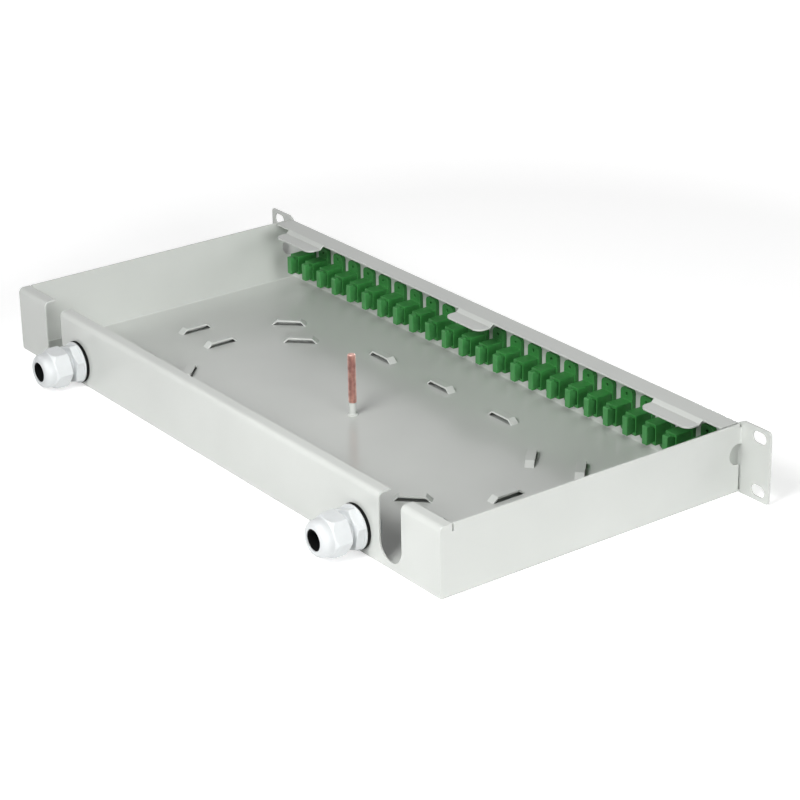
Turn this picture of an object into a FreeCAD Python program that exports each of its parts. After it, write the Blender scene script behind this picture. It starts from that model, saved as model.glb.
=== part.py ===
import FreeCAD, Part
import math
import os

os.makedirs("parts", exist_ok=True)
V = FreeCAD.Vector

# Frame, in millimetres: X runs to the right seen from the front, Y to the rear, Z up.
# Y = 0 is the rear face of the rack ears, which bears on the rails of the rack.
# X = 0 and Z = 0 are the middle of the four rack slots.

# Chassis: one folded sheet with the front panel, floor, side walls and rear wall
SHEET = 1.2
BEND_INSIDE = 0.9
PANEL_WIDTH = 482.6
PANEL_HEIGHT = 43.65
EAR_WIDTH = 22.8
EAR_CORNER = 2.5
EAR_RISE = 1.95             # the ears stand this far above the tray's walls
SHOULDER_RUN = 2.0          # length of the sloped shoulder beyond the side wall
TRAY_DEPTH = 207.3          # rear face of the ears to the rear face of the tray
FLANGE_DEPTH = 13.0
LIP_DEPTH = 8.0
LIP_BEND = 3.4              # outside radius of the rear lip, a softer fold than the others
LIP_RELIEF_WIDTH = 0.9      # notch in the side wall where the lip's fold ends
LIP_RELIEF_DEPTH = 4.5
SEAM = 1.0                  # open joint between a side wall and the front panel
FLANGE_END_GAP = 1.0        # between the turned-in flange and the side wall beside it

# Rack slots in the ears
SLOT_INSET = 8.75
SLOT_SPACING_Z = 31.75
SLOT_LENGTH = 10.4
SLOT_WIDTH = 6.6

# Joggled tabs behind the front flange, which carry the lid when there is one
TAB_REACH = 11.6
TAB_DROP = 2.2
TAB_JOGGLE = 2.4
TAB_CORNER = 5.0
SIDE_TAB_WIDTH = 39.5
SIDE_TAB_INSET = 36.9
MIDDLE_TAB_WIDTH = 33.5

# Openings in the walls
NOTCH_RADIUS = 6.2
NOTCH_SETBACK = 2.0
NOTCH_HEIGHT = 23.6
CABLE_SLOT_WIDTH = 19.4
CABLE_SLOT_FLOOR = 5.1
CABLE_SLOT_INSET = 42.8

# Lanced bridges for cable ties, set round an oval loop on the floor
BRIDGE_LENGTH = 22.5
BRIDGE_WIDTH = 5.5
BRIDGE_RAMP = 3.7
BRIDGE_RISE = 3.2
LOOP_SHIFT = 2.9            # the loop's middle lies this far behind the tray's middle
LOOP_ROW_PITCH = 60.0
LOOP_ROW_OFFSET = 66.0
LOOP_SIDE_INNER = 145.0
LOOP_SIDE_OUTER = 175.0
DIAGONAL_INNER_X = 115.5
DIAGONAL_INNER_Y = 42.0
DIAGONAL_OUTER_X = 145.5
DIAGONAL_OUTER_Y = 53.5
DIAGONAL_TURN = 45.0        # degrees

# Adapters: through housings in a row of cut-outs, each with a flange inside the panel
ADAPTER_COUNT = 24
ADAPTER_INSET = 24.15       # side of the tray to the first adapter's middle
ADAPTER_HEIGHT = 19.4       # underside of the tray to the adapters' middle
CUTOUT_CLEARANCE = 0.2
HOUSING_WIDTH = 9.0
HOUSING_HEIGHT = 12.6
HOUSING_FRONT = 13.0
HOUSING_REAR = 14.2
MOUTH_WIDTH = 7.4
MOUTH_HEIGHT = 9.0
MOUTH_DEPTH = 11.0
ADAPTER_FLANGE_WIDTH = 10.5
ADAPTER_FLANGE_HEIGHT = 27.2
ADAPTER_FLANGE_DEPTH = 2.7
ADAPTER_FLANGE_CHAMFER = 1.8

# Dust cap in each mouth: a plug, a neck and a finger fin
PLUG_CLEARANCE = 0.1
PLUG_RECESS = 4.0
PLUG_LENGTH = 6.0
FIN_WIDTH = 4.3
FIN_HEIGHT = 11.4
FIN_LENGTH = 4.6

# Cable glands through the rear wall
GLAND_INSET = 72.5          # side of the tray to the gland's axis
GLAND_HEIGHT = 15.0         # underside of the tray to the gland's axis
SHANK_RADIUS = 10.0
SHANK_CLEARANCE = 0.2
SHANK_END = 2.5             # length of shank showing past the lock nut
GASKET_RADIUS = 13.0
GASKET_THICKNESS = 2.0
GLAND_COLLAR_RADIUS = 12.8
GLAND_COLLAR_LENGTH = 1.2
GLAND_HEX = 22.0
GLAND_HEX_LENGTH = 6.0      # with the collar under it
GLAND_HEX_TURN = 43.0       # degrees from +X to a corner
NECK_RADIUS = 9.0
NECK_LENGTH = 9.0
GLAND_BORE = 7.0
LOCK_NUT_HEX = 24.0
LOCK_NUT_LENGTH = 5.5
LOCK_NUT_CLEARANCE = 0.1

# Dome nut and seal of each gland
NUT_HEX = 22.2
NUT_HEX_LENGTH = 9.7
NUT_TURN = 6.0              # degrees from +X to a corner, as the nuts were left when tightened
NUT_STANDOFF = 2.8          # open neck between the gland's hexagon and the nut
THREAD_CLEARANCE = 0.25
DOME_RADIUS = 10.7
DOME_LENGTH = 7.5
DOME_TAPER = 2.4
DOME_RIM = 8.0
NUT_MOUTH = 6.2
SEAL_CLEARANCE = 0.3
SEAL_BORE = 5.5
SEAL_LENGTH = 5.0
END_CLEARANCE = 0.2

# Stud in the middle of the floor, for stacking splice trays
STUD_RADIUS = 2.5
STUD_FOOT_RADIUS = 3.3
STUD_FOOT_THICKNESS = 0.8
STUD_SHANK_RADIUS = 2.15
STUD_SHANK_LENGTH = 8.5
STUD_CHAMFER = 0.6
STUD_LID_GAP = 0.3

# Places that follow from the sizes above
BEND_OUTSIDE = BEND_INSIDE + SHEET
X_SIDE = PANEL_WIDTH / 2 - EAR_WIDTH
Z_FLOOR = -PANEL_HEIGHT / 2
Z_EAR = PANEL_HEIGHT / 2
Z_TOP = Z_EAR - EAR_RISE
X_FLANGE_END = X_SIDE - SHEET - FLANGE_END_GAP
Z_ADAPTER = Z_FLOOR + ADAPTER_HEIGHT
ADAPTER_PITCH = 2 * (X_SIDE - ADAPTER_INSET) / (ADAPTER_COUNT - 1)
X_GLAND = X_SIDE - GLAND_INSET
Z_GLAND = Z_FLOOR + GLAND_HEIGHT
Y_LOOP = (TRAY_DEPTH - SHEET) / 2 + LOOP_SHIFT
Y_GLAND_HEX = TRAY_DEPTH + GASKET_THICKNESS
Y_NECK = Y_GLAND_HEX + GLAND_HEX_LENGTH
Y_NUT = Y_NECK + NUT_STANDOFF
Y_DOME = Y_NUT + NUT_HEX_LENGTH
Y_NUT_END = Y_DOME + DOME_LENGTH
Y_SEAL = Y_NECK + NECK_LENGTH + END_CLEARANCE
SEAL_RADIUS = NECK_RADIUS + THREAD_CLEARANCE - SEAL_CLEARANCE
OVERCUT = 1.0               # cutting tools run this far past the faces they cut
NEAR = 0.01                 # an edge this close to a face counts as lying on it


def block(x0, x1, y0, y1, z0, z1):
    """A box between two corners."""
    return Part.makeBox(x1 - x0, y1 - y0, z1 - z0, V(x0, y0, z0))


def turned(profile, x, z):
    """A solid of revolution about a line along Y, from a list of (radius, y) points."""
    wire = Part.makePolygon([V(r, y, 0) for r, y in profile + profile[:1]])
    solid = Part.Face(wire).revolve(V(0, 0, 0), V(0, 1, 0), 360)
    solid.translate(V(x, 0, z))
    return solid


def tube(radius, bore, y0, y1, x, z):
    """A plain ring about a line along Y."""
    return turned([(bore, y0), (radius, y0), (radius, y1), (bore, y1)], x, z)


def corner_radius(sides, flats):
    """The distance from the middle of a regular outline to its corners."""
    return flats / 2 / math.cos(math.pi / sides)


def prism(sides, flats, y0, y1, x, z, turn=0):
    """A regular prism along Y, given across its flats, with a corner at the turn in degrees from +X."""
    reach = corner_radius(sides, flats)
    corners = []
    for k in range(sides + 1):
        angle = math.radians(turn + 360 * k / sides)
        corners.append(V(x + reach * math.cos(angle), y0, z + reach * math.sin(angle)))
    return Part.Face(Part.makePolygon(corners)).extrude(V(0, y1 - y0, 0))


def rounded(solid, radius, chosen):
    """The solid with a fillet on each edge whose middle point is chosen."""
    edges = [e for e in solid.Edges if chosen(e.CenterOfMass)]
    return solid.makeFillet(radius, edges)


def mirrored(shape):
    """The shape and its mirror image in the plane X = 0."""
    return [shape, shape.mirror(V(0, 0, 0), V(1, 0, 0))]


def lip_rounding(inset):
    """The cutter that rounds the rear top edge of the tray's outer or inner box."""
    radius = LIP_BEND - inset
    y, z = TRAY_DEPTH - LIP_BEND, Z_TOP - LIP_BEND
    bar = block(-X_SIDE, X_SIDE, y, TRAY_DEPTH, z, Z_TOP)
    return bar.cut(Part.makeCylinder(radius, 2 * X_SIDE, V(-X_SIDE, y, z), V(1, 0, 0)))


def fold_box(inset, radius, round_corners):
    """The tray's outer or inner box, rounded where the sheet is folded.

    The upright rear corners are welded seams, dressed round on the outside only.
    """
    front, rear = -SHEET + inset, TRAY_DEPTH - inset
    bottom, top = Z_FLOOR + inset, Z_TOP - inset
    solid = block(-X_SIDE + inset, X_SIDE - inset, front, rear, bottom, top)

    def folded(p):
        on_floor = abs(p.z - bottom) < NEAR
        front_top = abs(p.y - front) < NEAR and abs(p.z - top) < NEAR
        rear_corner = abs(p.y - rear) < NEAR and abs(p.x) > NEAR
        return on_floor or front_top or (rear_corner and round_corners)

    return rounded(solid, radius, folded).cut(lip_rounding(inset))


def tray():
    """The folded box, open at the top between the front flange and the rear lip."""
    shell = fold_box(0, BEND_OUTSIDE, True).cut(fold_box(SHEET, BEND_INSIDE, False))
    z_cut = Z_TOP - BEND_OUTSIDE
    inside = X_SIDE - SHEET
    above = Z_TOP + OVERCUT
    lip_edge = TRAY_DEPTH - LIP_DEPTH
    cuts = [block(-inside, inside, FLANGE_DEPTH, lip_edge, z_cut, above)]
    flange_end = block(X_FLANGE_END, inside, -SHEET - OVERCUT, FLANGE_DEPTH + OVERCUT, z_cut, above)
    corner = block(X_FLANGE_END, X_SIDE + OVERCUT, -SHEET - OVERCUT, SEAM, z_cut, above)
    seam = block(X_FLANGE_END, X_SIDE + OVERCUT, 0, SEAM, Z_FLOOR + BEND_OUTSIDE, above)
    relief = block(inside, X_SIDE + OVERCUT, lip_edge - LIP_RELIEF_WIDTH, lip_edge,
                   Z_TOP - LIP_RELIEF_DEPTH, above)
    for cut in (flange_end, corner, seam, relief):
        cuts += mirrored(cut)
    return shell.cut(cuts)


def ear():
    """The right-hand rack ear: a flat plate with a sloped shoulder and two open slots."""
    edge = PANEL_WIDTH / 2
    z_join = Z_TOP - BEND_OUTSIDE - SHEET
    outline = [(X_SIDE, Z_FLOOR), (edge, Z_FLOOR), (edge, Z_EAR), (X_SIDE + SHOULDER_RUN, Z_EAR),
               (X_FLANGE_END, Z_TOP), (X_FLANGE_END, z_join), (X_SIDE, z_join)]
    wire = Part.makePolygon([V(x, -SHEET, z) for x, z in outline + outline[:1]])
    plate = Part.Face(wire).extrude(V(0, SHEET, 0))
    plate = rounded(plate, EAR_CORNER, lambda p: p.x > edge - NEAR and abs(p.z) > Z_EAR - NEAR)
    x_slot = edge - SLOT_INSET
    for z_slot in (-SLOT_SPACING_Z / 2, SLOT_SPACING_Z / 2):
        plate = plate.cut(rack_slot(x_slot, z_slot))
    return plate


def rack_slot(x, z):
    """The cutter for one round-ended slot through an ear."""
    half, radius = (SLOT_LENGTH - SLOT_WIDTH) / 2, SLOT_WIDTH / 2
    depth = SHEET + 2 * OVERCUT
    y = -SHEET - OVERCUT
    cutter = block(x - half, x + half, y, y + depth, z - radius, z + radius)
    ends = [Part.makeCylinder(radius, depth, V(x + s * half, y, z), V(0, 1, 0)) for s in (-1, 1)]
    return cutter.fuse(ends)


def tab(x, width):
    """A tab that drops below the front flange in a joggle, with two rounded corners."""
    reach = FLANGE_DEPTH + TAB_REACH
    step = FLANGE_DEPTH + TAB_JOGGLE
    low = Z_TOP - TAB_DROP
    side = [(FLANGE_DEPTH, Z_TOP), (step, low), (reach, low),
            (reach, low - SHEET), (step, low - SHEET), (FLANGE_DEPTH, Z_TOP - SHEET)]
    wire = Part.makePolygon([V(x - width / 2, y, z) for y, z in side + side[:1]])
    plate = Part.Face(wire).extrude(V(width, 0, 0))
    return rounded(plate, TAB_CORNER,
                   lambda p: p.y > reach - NEAR and abs(abs(p.x - x) - width / 2) < NEAR)


def side_notch():
    """The cutter for the part-round notch where a side wall meets the front panel."""
    z = Z_FLOOR + NOTCH_HEIGHT
    x = X_SIDE - SHEET - OVERCUT
    length = SHEET + 2 * OVERCUT
    hole = Part.makeCylinder(NOTCH_RADIUS, length, V(x, NOTCH_SETBACK, z), V(1, 0, 0))
    behind_panel = NOTCH_SETBACK + NOTCH_RADIUS + OVERCUT
    return hole.common(block(x, x + length, 0, behind_panel, z - NOTCH_RADIUS, z + NOTCH_RADIUS))


def cable_slot():
    """The cutter for a round-bottomed cable slot through the rear wall and its lip."""
    x = X_SIDE - CABLE_SLOT_INSET
    radius = CABLE_SLOT_WIDTH / 2
    z = Z_FLOOR + CABLE_SLOT_FLOOR + radius
    y0 = TRAY_DEPTH - LIP_DEPTH - OVERCUT
    y1 = TRAY_DEPTH + OVERCUT
    end = Part.makeCylinder(radius, y1 - y0, V(x, y0, z), V(0, 1, 0))
    return block(x - radius, x + radius, y0, y1, z, Z_TOP + OVERCUT).fuse(end)


def gland_hole():
    """The cutter for a gland's hole through the rear wall."""
    return Part.makeCylinder(SHANK_RADIUS + SHANK_CLEARANCE, SHEET + 2 * OVERCUT,
                             V(X_GLAND, TRAY_DEPTH - SHEET - OVERCUT, Z_GLAND), V(0, 1, 0))


def adapter_places():
    """The X of each adapter, from left to right seen from the front."""
    first = -ADAPTER_PITCH * (ADAPTER_COUNT - 1) / 2
    return [first + ADAPTER_PITCH * k for k in range(ADAPTER_COUNT)]


def adapter_cutout(x):
    """The cutter for one adapter's opening in the front panel."""
    half_width = HOUSING_WIDTH / 2 + CUTOUT_CLEARANCE
    half_height = HOUSING_HEIGHT / 2 + CUTOUT_CLEARANCE
    return block(x - half_width, x + half_width, -SHEET - OVERCUT, OVERCUT,
                 Z_ADAPTER - half_height, Z_ADAPTER + half_height)


def bridge_places():
    """Each bridge's x, y and turn in degrees, following the loop of fibre on the floor."""
    places = []
    for side in (-1, 1):
        for k in (-1, 0, 1):
            places.append((k * LOOP_ROW_PITCH, Y_LOOP + side * LOOP_ROW_OFFSET, 0))
        places.append((side * LOOP_SIDE_INNER, Y_LOOP, 90))
        places.append((side * LOOP_SIDE_OUTER, Y_LOOP, 90))
        for end in (-1, 1):
            turn = -DIAGONAL_TURN * side * end
            places.append((side * DIAGONAL_INNER_X, Y_LOOP + end * DIAGONAL_INNER_Y, turn))
            places.append((side * DIAGONAL_OUTER_X, Y_LOOP + end * DIAGONAL_OUTER_Y, turn))
    return places


def set_on_floor(shape, place):
    """The shape turned and moved to a bridge's place."""
    x, y, turn = place
    shape.rotate(V(0, 0, 0), V(0, 0, 1), turn)
    shape.translate(V(x, y, 0))
    return shape


def bridge_window():
    """The cutter for the opening that a lanced bridge leaves in the floor."""
    half = BRIDGE_LENGTH / 2
    return block(-half, half, -BRIDGE_WIDTH / 2, BRIDGE_WIDTH / 2,
                 Z_FLOOR - OVERCUT, Z_FLOOR + SHEET + OVERCUT)


def bridge():
    """A strip of the floor pressed up into a flat-topped arch."""
    half = BRIDGE_LENGTH / 2
    flat = half - BRIDGE_RAMP
    under = Z_FLOOR + BRIDGE_RISE
    low = Z_FLOOR + SHEET
    side = [(-half, Z_FLOOR), (-flat, under), (flat, under), (half, Z_FLOOR),
            (half, low), (flat, under + SHEET), (-flat, under + SHEET), (-half, low)]
    wire = Part.makePolygon([V(x, -BRIDGE_WIDTH / 2, z) for x, z in side + side[:1]])
    return Part.Face(wire).extrude(V(0, BRIDGE_WIDTH, 0))


def chassis():
    """The whole folded sheet as one solid."""
    sheet = tray().fuse(mirrored(ear()))
    x_tab = X_SIDE - SIDE_TAB_INSET
    sheet = sheet.fuse(mirrored(tab(x_tab, SIDE_TAB_WIDTH)) + [tab(0, MIDDLE_TAB_WIDTH)])
    cuts = mirrored(side_notch()) + mirrored(cable_slot()) + mirrored(gland_hole())
    cuts += [adapter_cutout(x) for x in adapter_places()]
    cuts += [set_on_floor(bridge_window(), place) for place in bridge_places()]
    sheet = sheet.cut(cuts)
    sheet = sheet.fuse([set_on_floor(bridge(), place) for place in bridge_places()])
    return sheet.removeSplitter()


def adapter(x):
    """One housing with a mouth at each end and a flange, solid in the middle where nothing shows."""
    half_width, half_height = HOUSING_WIDTH / 2, HOUSING_HEIGHT / 2
    housing = block(x - half_width, x + half_width, -HOUSING_FRONT, HOUSING_REAR,
                    Z_ADAPTER - half_height, Z_ADAPTER + half_height)
    half_flange, half_tall = ADAPTER_FLANGE_WIDTH / 2, ADAPTER_FLANGE_HEIGHT / 2
    flange = block(x - half_flange, x + half_flange, 0, ADAPTER_FLANGE_DEPTH,
                   Z_ADAPTER - half_tall, Z_ADAPTER + half_tall)
    middle = ADAPTER_FLANGE_DEPTH / 2
    corners = [e for e in flange.Edges if abs(e.CenterOfMass.y - middle) < NEAR]
    flange = flange.makeChamfer(ADAPTER_FLANGE_CHAMFER, corners)
    half_mouth, half_open = MOUTH_WIDTH / 2, MOUTH_HEIGHT / 2
    mouths = []
    for start in (-HOUSING_FRONT, HOUSING_REAR - MOUTH_DEPTH):
        mouths.append(block(x - half_mouth, x + half_mouth, start, start + MOUTH_DEPTH,
                            Z_ADAPTER - half_open, Z_ADAPTER + half_open))
    return housing.fuse(flange).cut(mouths)


def dust_cap(x, rim, out):
    """A cap in the mouth whose rim is at the given Y; out is +1 for the rear and -1 for the front."""
    plug_x, plug_z = MOUTH_WIDTH / 2 - PLUG_CLEARANCE, MOUTH_HEIGHT / 2 - PLUG_CLEARANCE
    face = rim - out * PLUG_RECESS
    levels = [(plug_x, plug_z, face - out * PLUG_LENGTH, face),
              (FIN_WIDTH / 2, plug_z, face, rim),
              (FIN_WIDTH / 2, FIN_HEIGHT / 2, rim, rim + out * FIN_LENGTH)]
    steps = []
    for half_x, half_z, start, end in levels:
        steps.append(block(x - half_x, x + half_x, min(start, end), max(start, end),
                           Z_ADAPTER - half_z, Z_ADAPTER + half_z))
    return steps[0].fuse(steps[1:]).removeSplitter()


def gland_gasket(x):
    """The flat ring under a gland's hexagon."""
    return tube(GASKET_RADIUS, SHANK_RADIUS, TRAY_DEPTH, Y_GLAND_HEX, x, Z_GLAND)


def gland_body(x):
    """The gland's fixed half: a shank through the wall, a collar, a hexagon and a neck for the nut."""
    inner_end = TRAY_DEPTH - SHEET - LOCK_NUT_LENGTH - SHANK_END
    outer_end = Y_NECK + NECK_LENGTH
    collar_end = Y_GLAND_HEX + GLAND_COLLAR_LENGTH
    core = turned([(GLAND_BORE, inner_end), (SHANK_RADIUS, inner_end), (SHANK_RADIUS, Y_GLAND_HEX),
                   (GLAND_COLLAR_RADIUS, Y_GLAND_HEX), (GLAND_COLLAR_RADIUS, collar_end),
                   (NECK_RADIUS, collar_end), (NECK_RADIUS, outer_end), (GLAND_BORE, outer_end)],
                  x, Z_GLAND)
    bore = Part.makeCylinder(GLAND_BORE, Y_NECK - collar_end, V(x, collar_end, Z_GLAND), V(0, 1, 0))
    flats = prism(6, GLAND_HEX, collar_end, Y_NECK, x, Z_GLAND, GLAND_HEX_TURN)
    return core.fuse(flats.cut(bore)).removeSplitter()


def gland_lock_nut(x):
    """The thin nut that holds the gland from inside the tray."""
    end = TRAY_DEPTH - SHEET
    nut = prism(6, LOCK_NUT_HEX, end - LOCK_NUT_LENGTH, end, x, Z_GLAND)
    bore = Part.makeCylinder(SHANK_RADIUS + LOCK_NUT_CLEARANCE, LOCK_NUT_LENGTH,
                             V(x, end - LOCK_NUT_LENGTH, Z_GLAND), V(0, 1, 0))
    return nut.cut(bore)


def gland_nut(x):
    """The dome nut: a hexagon under a round dome, hollow for the thread, the seal and the cable."""
    outline = [(0, Y_NUT), (DOME_RADIUS, Y_NUT), (DOME_RADIUS, Y_NUT_END - DOME_TAPER),
               (DOME_RIM, Y_NUT_END), (0, Y_NUT_END)]
    nut = prism(6, NUT_HEX, Y_NUT, Y_DOME, x, Z_GLAND, NUT_TURN).fuse(turned(outline, x, Z_GLAND))
    thread = NECK_RADIUS + THREAD_CLEARANCE
    seal_end = Y_SEAL + SEAL_LENGTH + END_CLEARANCE
    hollow = [(0, Y_NUT), (thread, Y_NUT), (thread, seal_end), (NUT_MOUTH, seal_end),
              (NUT_MOUTH, Y_NUT_END), (0, Y_NUT_END)]
    return nut.cut(turned(hollow, x, Z_GLAND)).removeSplitter()


def gland_seal(x):
    """The rubber ring that the nut presses onto the cable."""
    return tube(SEAL_RADIUS, SEAL_BORE, Y_SEAL, Y_SEAL + SEAL_LENGTH, x, Z_GLAND)


def stud():
    """The upright stud: a foot, a plain shank and a larger threaded length with a chamfered top."""
    base = Z_FLOOR + SHEET
    foot = base + STUD_FOOT_THICKNESS
    thread = base + STUD_SHANK_LENGTH
    top = Z_TOP - SHEET - STUD_LID_GAP
    profile = [(0, base), (STUD_FOOT_RADIUS, base), (STUD_FOOT_RADIUS, foot), (STUD_SHANK_RADIUS, foot),
               (STUD_SHANK_RADIUS, thread), (STUD_RADIUS, thread), (STUD_RADIUS, top - STUD_CHAMFER),
               (STUD_RADIUS - STUD_CHAMFER, top), (0, top)]
    wire = Part.makePolygon([V(r, 0, z) for r, z in profile + profile[:1]])
    solid = Part.Face(wire).revolve(V(0, 0, 0), V(0, 0, 1), 360)
    solid.translate(V(0, Y_LOOP, 0))
    return solid


def save(node, shape):
    """Write one node's solids."""
    shape.exportStep("parts/%s.step" % node)


places = adapter_places()
save("chassis", chassis())
for number, x in enumerate(places, 1):
    save("adapter_%02d" % number, adapter(x))
save("rear_dust_caps", Part.makeCompound([dust_cap(x, HOUSING_REAR, 1) for x in places]))
save("front_dust_caps", Part.makeCompound([dust_cap(x, -HOUSING_FRONT, -1) for x in places]))
save("gland_gaskets", Part.makeCompound([gland_gasket(x) for x in (-X_GLAND, X_GLAND)]))
save("gland_bodies", Part.makeCompound([gland_body(x) for x in (-X_GLAND, X_GLAND)]))
save("gland_lock_nuts", Part.makeCompound([gland_lock_nut(x) for x in (-X_GLAND, X_GLAND)]))
for side, x in (("left", -X_GLAND), ("right", X_GLAND)):
    save("gland_nut_" + side, gland_nut(x))
    save("gland_seal_" + side, gland_seal(x))
save("tray_stud", stud())
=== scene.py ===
# %% [markdown]
# # Fibre patch panel
# A rack panel one unit high: a folded steel tray that holds spare loops of optical fibre, with a row
# of green adapters along its front panel and two cable glands in its rear wall.
# The CAD model is the frame. It gives every place and size, and it is never moved. This script dresses
# it: it models the edges, threads, domes and screws that the solids leave plain, and gives each piece
# the finish of its real material.

# %% Load the CAD frame
import math

import bmesh
import bpy
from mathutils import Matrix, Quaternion, Vector


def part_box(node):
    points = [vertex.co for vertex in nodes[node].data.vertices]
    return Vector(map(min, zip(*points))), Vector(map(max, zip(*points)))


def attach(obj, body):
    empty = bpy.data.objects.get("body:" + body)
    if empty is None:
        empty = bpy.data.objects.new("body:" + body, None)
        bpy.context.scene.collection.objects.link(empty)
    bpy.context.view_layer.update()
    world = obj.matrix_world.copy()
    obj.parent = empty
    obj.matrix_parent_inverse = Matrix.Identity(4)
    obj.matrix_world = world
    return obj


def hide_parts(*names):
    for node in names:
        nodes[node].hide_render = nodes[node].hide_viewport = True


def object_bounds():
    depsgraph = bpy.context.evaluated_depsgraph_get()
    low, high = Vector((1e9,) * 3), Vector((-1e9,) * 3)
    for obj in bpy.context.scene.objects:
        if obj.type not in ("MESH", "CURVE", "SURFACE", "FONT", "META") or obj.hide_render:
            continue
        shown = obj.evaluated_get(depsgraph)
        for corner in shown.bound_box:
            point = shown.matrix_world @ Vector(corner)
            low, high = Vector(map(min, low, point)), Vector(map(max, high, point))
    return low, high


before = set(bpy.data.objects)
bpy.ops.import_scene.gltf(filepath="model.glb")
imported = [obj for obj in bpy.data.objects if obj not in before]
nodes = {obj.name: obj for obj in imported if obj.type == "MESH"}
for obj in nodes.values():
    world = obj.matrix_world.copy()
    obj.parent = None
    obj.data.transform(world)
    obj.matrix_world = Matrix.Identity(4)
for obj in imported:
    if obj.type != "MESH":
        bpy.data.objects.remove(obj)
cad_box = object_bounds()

MM = 0.001
print("CAD box in mm:", [[round(v / MM, 2) for v in corner] for corner in cad_box])

# %% [markdown]
# ## Working by operator
# Blender's operators act on whatever is selected, so each step starts by choosing what it works on.
# Faces and edges could be picked by index, but an index changes with every edit. Here they are picked
# by where they lie and where they point, in millimetres, as one would say it aloud: the rear face, the
# upright edges.

# %% Choosing what to work on
ALONG = 0.9                 # a direction whose share along an axis is above this counts as along it
SLACK = 0.01                # mm, places closer than this count as level


def only(obj):
    """Make one object the selected and active one."""
    bpy.ops.object.select_all(action="DESELECT")
    obj.select_set(True)
    bpy.context.view_layer.objects.active = obj


def edit(obj):
    """Open one object in edit mode with every point selected."""
    only(obj)
    bpy.ops.object.mode_set(mode="EDIT")
    bpy.ops.mesh.select_mode(type="VERT")
    bpy.ops.mesh.select_all(action="SELECT")


def leave():
    """Return to object mode."""
    bpy.ops.object.mode_set(mode="OBJECT")


def pick(kind, test):
    """In edit mode, select the points, edges or faces that pass a test."""
    bpy.ops.mesh.select_mode(type=kind)
    bpy.ops.mesh.select_all(action="DESELECT")
    data = bpy.context.object.data
    mesh = bmesh.from_edit_mesh(data)
    for part in {"VERT": mesh.verts, "EDGE": mesh.edges, "FACE": mesh.faces}[kind]:
        part.select_set(bool(test(part)))
    mesh.select_flush_mode()
    bmesh.update_edit_mesh(data)


def pick_points(test):
    """Select the points whose place in mm passes the test."""
    pick("VERT", lambda point: test(point.co / MM))


def pick_edges(test):
    """Select the edges whose middle in mm and direction pass the test."""
    def passes(edge):
        start, end = (point.co for point in edge.verts)
        return test((start + end) / 2 / MM, (end - start).normalized())

    pick("EDGE", passes)


def pick_faces(test):
    """Select the faces whose middle in mm and normal pass the test."""
    pick("FACE", lambda face: test(face.calc_center_median() / MM, face.normal))


def pull(x, y, z):
    """In edit mode, extrude what is selected by a distance in mm."""
    bpy.ops.mesh.extrude_region_move(TRANSFORM_OT_translate={"value": (x * MM, y * MM, z * MM)})


# %% [markdown]
# ## Three ways to start a shape
# Most of this object is either a block, something turned, or something threaded. A block starts from a
# cube. A turned piece starts from a circle that is extruded and scaled ring by ring, as on a lathe, and
# six points in that circle make a hexagon. A thread starts from one tooth that the Screw modifier sweeps
# up a helix, and two bisecting planes cut its ends flat and close them.

# %% Blocks, turned pieces and threads
LEAD = 2.01                 # turns of thread below the cut, so that no point lies on the cutting plane
SPARE_TURNS = 4             # turns beyond the rod's own length, which the two cuts take away
CREST_SHARE = 1 / 8         # a thread's flats and flanks, as shares of its pitch
FLANK_SHARE = 3 / 8
TURN_JOIN = 0.01            # share of the pitch within which two turns' points become one
CUT_LIMIT = 1e-7            # metres, how close to the plane a point counts as lying on it


def block(name, low, high):
    """A cube stretched between two corners in mm."""
    bpy.ops.object.select_all(action="DESELECT")
    middle = [(a + b) / 2 * MM for a, b in zip(low, high)]
    bpy.ops.mesh.primitive_cube_add(size=1, location=middle)
    obj = bpy.context.object
    obj.name = name
    obj.scale = [(b - a) * MM for a, b in zip(low, high)]
    bpy.ops.object.transform_apply(location=True, rotation=True, scale=True)
    return obj


def turned(name, profile, x, z, sides, ring=False, turn=0.0):
    """Rings about a line along Y through (x, z), from (radius, y) points, all in mm.

    A ring joins its last circle to its first; any other piece has its two ends filled. The first point
    of each circle lies towards +X, turned up by an angle in degrees.
    """
    bpy.ops.object.select_all(action="DESELECT")
    radius, y = profile[0]
    bpy.ops.mesh.primitive_circle_add(vertices=sides, radius=radius * MM,
                                      location=(x * MM, y * MM, z * MM), rotation=(math.pi / 2, 0, 0))
    obj = bpy.context.object
    obj.name = name
    obj.rotation_euler[1] = math.radians(90 - turn)
    bpy.ops.object.transform_apply(location=True, rotation=True, scale=True)
    edit(obj)
    for (r0, y0), (r1, y1) in zip(profile, profile[1:]):
        pull(0, y1 - y0, 0)
        bpy.ops.transform.resize(value=(r1 / r0, 1, r1 / r0), center_override=(x * MM, y1 * MM, z * MM))
    pick("EDGE", lambda edge: edge.is_boundary)
    if ring:
        bpy.ops.mesh.bridge_edge_loops()
    else:
        bpy.ops.mesh.fill_holes(sides=0)
    bpy.ops.mesh.select_all(action="SELECT")
    bpy.ops.mesh.normals_make_consistent(inside=False)
    leave()
    return obj


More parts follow.
